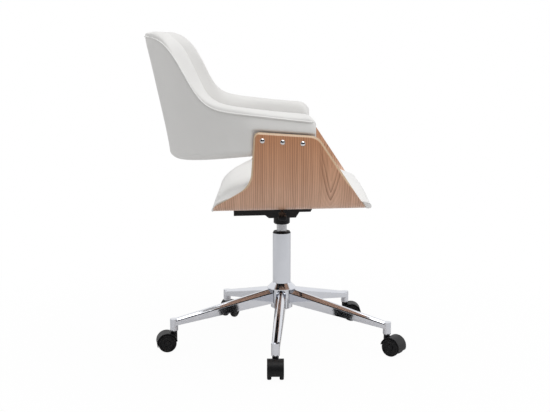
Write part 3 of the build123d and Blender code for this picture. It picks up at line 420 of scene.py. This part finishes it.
def cushion_loop(x):
    """Closed side section of the cushion at a place across its width."""
    edge = PLY_HALF_W - PLY_T
    inner_bend, outer_bend = PLY_BEND_R - PLY_T, PLY_BEND_R - CUSHION_LIFT
    low = PLY_BOTTOM + CUSHION_LIFT + bend_rise(x, edge - PLY_BEND_R + CUSHION_LIFT, outer_bend)
    bed = PLY_BOTTOM + PLY_T + SOFT_GAP + bend_rise(x, edge - inner_bend, inner_bend)
    high = CUSHION_TOP - CUSHION_SIDE_DROP * (x / PLY_HALF_W) ** 2
    high -= bend_rise(x, edge - CUSHION_EDGE - SIDE_ROUND, SIDE_ROUND * SIDE_ROUND_DEPTH)
    high -= SWELL_ROOM * CUSHION_SWELL
    lip = PLY_BOTTOM + CUSHION_LIFT - LIP_DROP
    front_z = high - CUSHION_FRONT_DROP - FRONT_SIDE_DROP * (x / PLY_HALF_W) ** 2
    rear_z = high - CUSHION_REAR_DROP
    front_in = (CUSHION_FRONT_SHOULDER - CUSHION_FRONT) * CUSHION_FRONT_ROLL
    rear_in = (CUSHION_REAR_SHOULDER - CUSHION_REAR) * CUSHION_REAR_ROLL
    front_mid = (CUSHION_FRONT + front_in, (lip + front_z) / 2)
    rear_mid = (CUSHION_REAR + rear_in, (lip + rear_z) / 2)
    front, front_shoulder = (CUSHION_FRONT, lip), (CUSHION_FRONT_SHOULDER, front_z)
    rear, rear_shoulder = (CUSHION_REAR, lip), (CUSHION_REAR_SHOULDER, rear_z)
    over = np.concatenate([arc_through(front, front_mid, front_shoulder, ARC_POINTS),
                           arc_through(front_shoulder, (CUSHION_CREST, high), rear_shoulder, ARC_POINTS),
                           arc_through(rear_shoulder, rear_mid, rear, ARC_POINTS), [rear]])
    over = over[over[:, 1] >= low - LIP_DROP - 1e-9]
    over = np.concatenate([over[:1] + (CUSHION_LIP, 0), over, over[-1:] - (REAR_LIP, 0)])
    well = np.exp(-((over[:, 0] - WELL_PLACE) / WELL_REACH) ** 2)
    over[:, 1] += WELL_UP * smooth(WELL_FROM, WELL_FULL, abs(x)) * well
    over = softened(even_line(np.column_stack([over, 0 * over[:, 0]]), 0, SMOOTH_COUNT)[:, :2])
    over = even_line(np.column_stack([over, 0 * over[:, 0]]), 0, CUSHION_ROWS)[:, :2]
    top = max(bed, low)
    back_low, back_top = rear_edge(low) + SOFT_GAP, rear_edge(top) + SOFT_GAP
    ahead_low, ahead_top = front_edge(low) - SOFT_GAP, front_edge(top) - SOFT_GAP
    back_low, back_top = min(back_low, over[-1, 0]), min(back_top, over[-1, 0])
    ahead_low, ahead_top = max(ahead_low, over[0, 0]), max(ahead_top, over[0, 0])
    run = np.linspace(back_top, ahead_top, CUSHION_UNDER)
    under = np.concatenate([[(back_low, low - LIP_DROP)], np.column_stack([run, np.full(CUSHION_UNDER, top)]),
                            [(ahead_low, low - LIP_DROP)]])
    loop = np.concatenate([over, under])
    return np.column_stack([np.full(len(loop), x), loop])


def make_cushion():
    edge = PLY_HALF_W - PLY_T - CUSHION_EDGE
    turn = np.linspace(-1, 1, CUSHION_COLUMNS) * COLUMN_CROWD * pi / 2
    across = edge * np.sin(turn) / np.sin(turn[-1])
    rings = [cushion_loop(x) for x in across]
    for pull in RIM_PULLS:
        for place in (0, -1):
            rim = rings[place].copy()
            under = rim[CUSHION_ROWS:, 2].max()
            middle = under + RIM_LEVEL * (rim[:, 2].max() - under)
            rim[:, 2] += (middle - rim[:, 2]) * pull
            rim[:, 1] += (rim[:, 1].mean() - rim[:, 1]) * RIM_IN
            rim[:, 0] += np.sign(rim[:, 0]) * CUSHION_EDGE * RIM_OUT
            rings.insert(0 if place == 0 else len(rings), rim)
    rings = np.array(rings)
    rows, columns = rings.shape[:2]
    points = rings.reshape(-1, 3)
    faces = [q[::-1] for q in loop_faces(rows, columns)]
    faces += [list(range(columns)), list(range((rows - 1) * columns, rows * columns))[::-1]]
    ring_index = np.arange(rows * columns).reshape(rows, columns)
    pinned = np.concatenate([ring_index[:, CUSHION_ROWS - 1:].ravel(), ring_index[:, 0],
                             ring_index[[0, 1, 2, -3, -2, -1]].ravel()])
    points = swell(points, faces, (rows, columns), pinned, CUSHION_SWELL)
    return soft_piece("seat_pad", points, faces)


# Materials
def add(tree, kind, inputs=None, **settings):
    made = tree.nodes.new(kind)
    for key, value in settings.items():
        setattr(made, key, value)
    for key, value in (inputs or {}).items():
        if isinstance(value, bpy.types.NodeSocket):
            tree.links.new(value, made.inputs[key])
        else:
            made.inputs[key].default_value = value
    return made


def calc(tree, operation, *values):
    return add(tree, "ShaderNodeMath", dict(enumerate(values)), operation=operation).outputs[0]


def noise(tree, place, scale, detail=3.0, rough=0.5):
    inputs = {"Vector": place, "Scale": scale, "Detail": detail, "Roughness": rough}
    return add(tree, "ShaderNodeTexNoise", inputs).outputs["Fac"]


def stretched(tree, place, factors):
    made = add(tree, "ShaderNodeVectorMath", {0: place, 1: factors}, operation="MULTIPLY")
    return made.outputs[0]


def spread(tree, value, low, high):
    """Value from 0..1 brought to another range."""
    return add(tree, "ShaderNodeMapRange", {"Value": value, "To Min": low, "To Max": high}).outputs[0]


def mixed(tree, share, first, second):
    made = add(tree, "ShaderNodeMix", data_type="RGBA")
    for key, value in ((0, share), (6, first), (7, second)):
        if isinstance(value, bpy.types.NodeSocket):
            tree.links.new(value, made.inputs[key])
        else:
            made.inputs[key].default_value = value if key == 0 else (*value, 1)
    return made.outputs[2]


def bumped(tree, height, distance, strength=1.0, normal=None):
    inputs = {"Height": height, "Distance": distance, "Strength": strength}
    if normal:
        inputs["Normal"] = normal
    return add(tree, "ShaderNodeBump", inputs).outputs[0]


def new_material(name):
    made = bpy.data.materials.new(name)
    made.use_nodes = True
    tree = made.node_tree
    place = add(tree, "ShaderNodeTexCoord").outputs["Object"]
    return made, tree, tree.nodes["Principled BSDF"], place


def leather(name, pale, deep):
    made, tree, shader, place = new_material(name)
    cells = add(tree, "ShaderNodeTexVoronoi", {"Vector": place, "Scale": 700.0}, feature="SMOOTH_F1")
    soft = noise(tree, place, 9.0)
    fine = noise(tree, place, 320.0, 4.0)
    tone = calc(tree, "MULTIPLY_ADD", cells.outputs["Distance"], 0.25, calc(tree, "MULTIPLY", soft, 0.7))
    tree.links.new(mixed(tree, tone, pale, deep), shader.inputs["Base Color"])
    tree.links.new(spread(tree, soft, 0.42, 0.56), shader.inputs["Roughness"])
    shader.inputs["Specular IOR Level"].default_value = 0.4
    grain = bumped(tree, cells.outputs["Distance"], 0.00015, 0.4)
    grain = bumped(tree, fine, 0.00015, 0.25, grain)
    tree.links.new(bumped(tree, noise(tree, place, 22.0, 2.0), 0.001, 0.25, grain), shader.inputs["Normal"])
    return made


def thread():
    made, tree, shader, place = new_material("stitch_thread")
    tone = noise(tree, place, 1500.0)
    tree.links.new(mixed(tree, tone, (0.80, 0.79, 0.76), (0.66, 0.65, 0.62)), shader.inputs["Base Color"])
    tree.links.new(spread(tree, tone, 0.55, 0.75), shader.inputs["Roughness"])
    return made


# Flat-sawn veneer: growth lines nested as points round one place, straight further out
GRAIN_CENTRE, GRAIN_TIP, GRAIN_REACH = -0.120, 0.459, 0.026
LINE_PERIOD, RING_PERIOD, TIP_PERIOD, TIP_ROUND = 0.0056, 0.0085, 0.034, 0.0015
LINE_SHARP, PLY_LAYERS, FACE_LAYER = 1.8, 9, 0.0007


def veneer():
    made, tree, shader, place = new_material("oak_veneer")
    parts = add(tree, "ShaderNodeSeparateXYZ", {0: place})
    x, y, z = parts.outputs
    width = calc(tree, "ABSOLUTE", x)
    along = calc(tree, "ADD", z, calc(tree, "SUBTRACT", width, PLY_HALF_W))
    spot = add(tree, "ShaderNodeCombineXYZ", {0: calc(tree, "SIGN", x), 1: y, 2: along}).outputs[0]
    sway = noise(tree, stretched(tree, spot, (1, 9, 3.2)), 1.0, 2.0)
    ripple = noise(tree, stretched(tree, spot, (1, 90, 9)), 1.0, 3.0)
    swayed = calc(tree, "ADD", y, spread(tree, sway, -0.008, 0.008))
    swayed = calc(tree, "ADD", swayed, spread(tree, ripple, -0.0016, 0.0016))
    side = calc(tree, "SUBTRACT", swayed, GRAIN_CENTRE)
    side = calc(tree, "SQRT", calc(tree, "MULTIPLY_ADD", side, side, TIP_ROUND ** 2))
    climb = calc(tree, "MULTIPLY", calc(tree, "SUBTRACT", along, GRAIN_TIP), 1 / TIP_PERIOD)
    ring = calc(tree, "SUBTRACT", calc(tree, "MULTIPLY", side, 1 / RING_PERIOD), climb)
    near = calc(tree, "MULTIPLY", side, 1 / GRAIN_REACH)
    figure = calc(tree, "EXPONENT", calc(tree, "MULTIPLY", calc(tree, "POWER", near, 4.0), -1.0))
    off = calc(tree, "ABSOLUTE", calc(tree, "SUBTRACT", ring, 0.5))
    bold = add(tree, "ShaderNodeMapRange", {"Value": off, "From Max": 1.6, "To Min": 1.1, "To Max": 0.25},
               interpolation_type="SMOOTHSTEP").outputs[0]
    arrow = calc(tree, "MULTIPLY", calc(tree, "POWER", calc(tree, "FRACT", ring), LINE_SHARP), bold)
    wide = noise(tree, stretched(tree, spot, (1, 46, 1.6)), 1.0, 3.0)
    lines = calc(tree, "FRACT", calc(tree, "MULTIPLY", swayed, 1 / LINE_PERIOD))
    lines = calc(tree, "MULTIPLY", calc(tree, "POWER", lines, LINE_SHARP), spread(tree, wide, 0.1, 1.1))
    streak = noise(tree, stretched(tree, spot, (1, 170, 3.2)), 1.0, 3.0, 0.6)
    pores = noise(tree, stretched(tree, spot, (1, 900, 26)), 1.0, 3.0, 0.6)
    share = calc(tree, "ADD", lines, calc(tree, "MULTIPLY", figure, calc(tree, "SUBTRACT", arrow, lines)))
    share = calc(tree, "MULTIPLY_ADD", calc(tree, "POWER", pores, 2.0), 0.35, share)
    share = calc(tree, "ADD", share, spread(tree, streak, -0.45, 0.55))
    share = calc(tree, "MINIMUM", calc(tree, "MAXIMUM", share, 0.0), 1.0)
    # Painted floor bounce: the veneer's colours are paler and less saturated towards the bottom, standing in
    # for light reflected up from the white floor.
    high = add(tree, "ShaderNodeMapRange",
               {"Value": z, "From Min": PLY_BOTTOM, "From Max": WING_FRONT_TOP}).outputs[0]
    pale = mixed(tree, high, (0.76, 0.485, 0.345), (0.68, 0.325, 0.165))
    dark = mixed(tree, high, (0.34, 0.17, 0.10), (0.29, 0.112, 0.048))
    face = mixed(tree, share, pale, dark)
    run = calc(tree, "MAXIMUM", calc(tree, "SUBTRACT", width, PLY_HALF_W - PLY_BEND_R), 0.0)
    tilt = calc(tree, "MULTIPLY_ADD", y, float(np.sin(SEAT_TILT)), z)
    fall = calc(tree, "MAXIMUM", calc(tree, "SUBTRACT", PLY_BOTTOM + PLY_BEND_R, tilt), 0.0)
    depth = calc(tree, "SUBTRACT", PLY_BEND_R, calc(tree, "SQRT", calc(
        tree, "ADD", calc(tree, "MULTIPLY", run, run), calc(tree, "MULTIPLY", fall, fall))))
    layer = calc(tree, "PINGPONG", depth, PLY_T / PLY_LAYERS)
    layer = calc(tree, "DIVIDE", layer, PLY_T / PLY_LAYERS)
    strands = noise(tree, stretched(tree, place, (300, 300, 300)), 1.0, 3.0)
    core = mixed(tree, calc(tree, "MULTIPLY_ADD", strands, 0.5, calc(tree, "MULTIPLY", layer, 0.6)),
                 (0.74, 0.56, 0.38), (0.50, 0.33, 0.19))
    inside = calc(tree, "MULTIPLY", calc(tree, "GREATER_THAN", depth, FACE_LAYER),
                  calc(tree, "LESS_THAN", depth, PLY_T - FACE_LAYER))
    tree.links.new(mixed(tree, inside, face, core), shader.inputs["Base Color"])
    tree.links.new(spread(tree, share, 0.30, 0.46), shader.inputs["Roughness"])
    shader.inputs["Coat Weight"].default_value = 0.18
    shader.inputs["Coat Roughness"].default_value = 0.22
    tree.links.new(bumped(tree, share, -0.00025, 0.5), shader.inputs["Normal"])
    return made


def raw_ply():
    made, tree, shader, place = new_material("plain_ply")
    lines = noise(tree, stretched(tree, place, (40, 9, 300)), 1.0)
    tree.links.new(mixed(tree, lines, (0.66, 0.50, 0.33), (0.50, 0.36, 0.22)), shader.inputs["Base Color"])
    tree.links.new(spread(tree, lines, 0.55, 0.75), shader.inputs["Roughness"])
    tree.links.new(bumped(tree, lines, 0.0003, 0.4), shader.inputs["Normal"])
    return made


def metal(name, colour, worn, rough, stretch, scale, bump):
    """Metal with fine unevenness along its working direction."""
    made, tree, shader, place = new_material(name)
    shader.inputs["Metallic"].default_value = 1.0
    marks = noise(tree, stretched(tree, place, stretch), scale, 4.0)
    tree.links.new(mixed(tree, marks, colour, worn), shader.inputs["Base Color"])
    tree.links.new(spread(tree, marks, *rough), shader.inputs["Roughness"])
    tree.links.new(bumped(tree, marks, bump, 0.25), shader.inputs["Normal"])
    return made


def moulded(name, colour, pale, rough, scale, bump):
    """Black moulded or coated surface with a fine texture."""
    made, tree, shader, place = new_material(name)
    fine = noise(tree, place, scale, 3.0)
    broad = noise(tree, place, 30.0)
    tone = calc(tree, "MULTIPLY", fine, broad)
    tree.links.new(mixed(tree, tone, colour, pale), shader.inputs["Base Color"])
    tree.links.new(spread(tree, broad, *rough), shader.inputs["Roughness"])
    tree.links.new(bumped(tree, fine, bump, 0.4), shader.inputs["Normal"])
    shader.inputs["Specular IOR Level"].default_value = 0.3
    return made


# Colour, second colour, range of roughness, then stretch of the marks for metals, their scale and depth
METALS = {
    "chrome": ((0.72, 0.735, 0.78), (0.66, 0.675, 0.72), (0.05, 0.09), (1, 1, 1), 30.0, 0.0001),
    "screw_chrome": ((0.78, 0.77, 0.77), (0.70, 0.70, 0.71), (0.08, 0.14), (1, 1, 1), 60.0, 0.0001),
    "silver_steel": ((0.62, 0.62, 0.64), (0.54, 0.54, 0.56), (0.24, 0.34), (1, 1, 120), 3.0, 0.0001),
    "zinc_steel": ((0.58, 0.58, 0.60), (0.47, 0.48, 0.50), (0.34, 0.46), (1, 1, 1), 160.0, 0.0002),
}
BLACKS = {
    "black_nylon": ((0.004, 0.004, 0.005), (0.010, 0.010, 0.012), (0.44, 0.56), 900.0, 0.0002),
    "wheel_nylon": ((0.004, 0.004, 0.005), (0.010, 0.010, 0.012), (0.40, 0.52), 500.0, 0.0001),
    "black_steel": ((0.008, 0.008, 0.009), (0.016, 0.016, 0.018), (0.40, 0.52), 380.0, 0.0003),
    "black_rubber": ((0.014, 0.014, 0.014), (0.025, 0.025, 0.025), (0.70, 0.85), 600.0, 0.0003),
}
materials = {name: metal(name, *look) for name, look in METALS.items()}
materials.update({name: moulded(name, *look) for name, look in BLACKS.items()})
materials["oak_veneer"] = veneer()
materials["plain_ply"] = raw_ply()
materials["white_leather"] = leather("white_leather", (0.79, 0.783, 0.768), (0.735, 0.728, 0.715))


def dress(piece, material):
    piece.data.materials.clear()
    piece.data.materials.append(material)


for entry in frame["record"]["subparts"]:
    dress(nodes[entry["node"]], materials[entry["material_slot"]])

back, seam, down, over = make_back()
cushion = make_cushion()
piping = make_piping(seam, down, over)
stitches = make_stitches(seam, down)
dress(back, materials["white_leather"])
# The seat pad's leather is the back's white leather painted paler: painted light standing in for light on the
# pad under the overhanging back.
dress(cushion, leather("pad_leather_painted_light", (0.87, 0.864, 0.85), (0.82, 0.814, 0.80)))
# The welt is painted paler than the leather round it: a painted highlight along the seam.
dress(piping, leather("seam_welt_painted_highlight", (0.93, 0.925, 0.91), (0.88, 0.875, 0.86)))
dress(stitches, thread())
for piece in (back, cushion, piping, stitches):
    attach(piece, "seat")
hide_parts("back_upholstery")
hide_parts("seat_cushion")


# Floor, light and camera
FLOOR_HALF = 14.0
CLEAR_FROM, CLEAR_FULL, CLEAR_LEAST = 0.35, 1.3, 0.97
AMBIENT = 0.54
TOP_LIGHT = 30.0
REAR_FILL, FRONT_FILL = 2.0, 2.5
HORIZON_R, HORIZON_LOW, HORIZON_HIGH = 5.0, 0.15, 8.0
HORIZON_FROM, HORIZON_TO, HORIZON_STEPS = 0.56 * pi, 1.44 * pi, 33
CAMERA_PLACE = (-2.8158, 0.01865, 0.8486)
CAMERA_DIP = 0.1619
CAMERA_LENS, SENSOR = 67.58, 36.0


def seen_directly(tree):
    """1 for rays that show the background: from the camera, in metal and through glass."""
    rays = add(tree, "ShaderNodeLightPath").outputs
    share = calc(tree, "MAXIMUM", rays["Is Camera Ray"], rays["Is Glossy Ray"])
    return calc(tree, "MAXIMUM", share, rays["Is Transmission Ray"])


def make_world():
    world = bpy.data.worlds.new("studio")
    world.use_nodes = True
    tree = world.node_tree
    background = tree.nodes["Background"]
    background.inputs["Color"].default_value = (1, 1, 1, 1)
    tree.links.new(spread(tree, seen_directly(tree), AMBIENT, 1.0), background.inputs["Strength"])
    scene.world = world


def make_floor():
    corners = [(-FLOOR_HALF, -FLOOR_HALF, 0), (FLOOR_HALF, -FLOOR_HALF, 0), (FLOOR_HALF, FLOOR_HALF, 0),
               (-FLOOR_HALF, FLOOR_HALF, 0)]
    floor = new_piece("floor", corners, [[0, 1, 2, 3]])
    made, tree, shader, place = new_material("studio_floor")
    shader.inputs["Base Color"].default_value = (0.86, 0.86, 0.86, 1)
    shader.inputs["Roughness"].default_value = 0.9
    shader.inputs["Specular IOR Level"].default_value = 0.0
    glow = add(tree, "ShaderNodeEmission", {"Color": (1, 1, 1, 1), "Strength": 1.0}).outputs[0]
    away = add(tree, "ShaderNodeVectorMath", {0: place}, operation="LENGTH").outputs["Value"]
    limits = {"Value": away, "From Min": CLEAR_FROM, "From Max": CLEAR_FULL, "To Min": CLEAR_LEAST}
    clear = add(tree, "ShaderNodeMapRange", limits, interpolation_type="SMOOTHSTEP").outputs[0]
    rays = add(tree, "ShaderNodeLightPath").outputs
    direct = calc(tree, "MAXIMUM", rays["Is Camera Ray"], rays["Is Transmission Ray"])
    share = calc(tree, "MULTIPLY", direct, clear)
    both = add(tree, "ShaderNodeMixShader", {0: share, 1: shader.outputs[0], 2: glow}).outputs[0]
    tree.links.new(both, tree.nodes["Material Output"].inputs["Surface"])
    dress(floor, made)


def make_horizon():
    """Dark band on the viewer's side that shows only as a streak in polished surfaces."""
    turn = np.linspace(HORIZON_FROM, HORIZON_TO, HORIZON_STEPS)
    arc = [[(HORIZON_R * np.cos(a), HORIZON_R * np.sin(a), z) for a in turn]
           for z in (HORIZON_LOW, HORIZON_HIGH)]
    band = new_piece("horizon", np.array(arc).reshape(-1, 3), loop_faces(2, HORIZON_STEPS)[:-1])
    made, tree, shader, place = new_material("studio_dark")
    shader.inputs["Base Color"].default_value = (0.03, 0.03, 0.033, 1)
    shader.inputs["Specular IOR Level"].default_value = 0.0
    dress(band, made)
    band.visible_camera = band.visible_diffuse = band.visible_shadow = band.visible_transmission = False


def make_light(name, place, target, size, energy):
    lamp = bpy.data.lights.new(name, "AREA")
    lamp.shape = "DISK"
    lamp.size = size
    lamp.energy = energy
    holder = bpy.data.objects.new(name, lamp)
    holder.location = place
    aim = np.array(target) - np.array(place)
    holder.rotation_mode = "QUATERNION"
    holder.rotation_quaternion = Vector(aim).to_track_quat("-Z", "Y")
    scene.collection.objects.link(holder)


def make_camera():
    lens = bpy.data.cameras.new("camera")
    lens.lens = CAMERA_LENS
    lens.sensor_width = SENSOR
    camera = bpy.data.objects.new("camera", lens)
    camera.location = CAMERA_PLACE
    camera.rotation_euler = (pi / 2 - CAMERA_DIP, 0, -pi / 2)
    scene.collection.objects.link(camera)
    scene.camera = camera


make_world()
make_floor()
make_horizon()
make_light("top_light", (-0.5, -0.4, 2.7), (0, 0, 0.5), 2.4, TOP_LIGHT)
make_light("rear_fill", (0.3, 1.9, 0.8), (0, 0.1, 0.46), 0.8, REAR_FILL)
make_light("front_fill", (0.3, -2.0, 0.9), (0, -0.2, 0.46), 0.8, FRONT_FILL)
make_camera()
scene.view_settings.view_transform = "Standard"
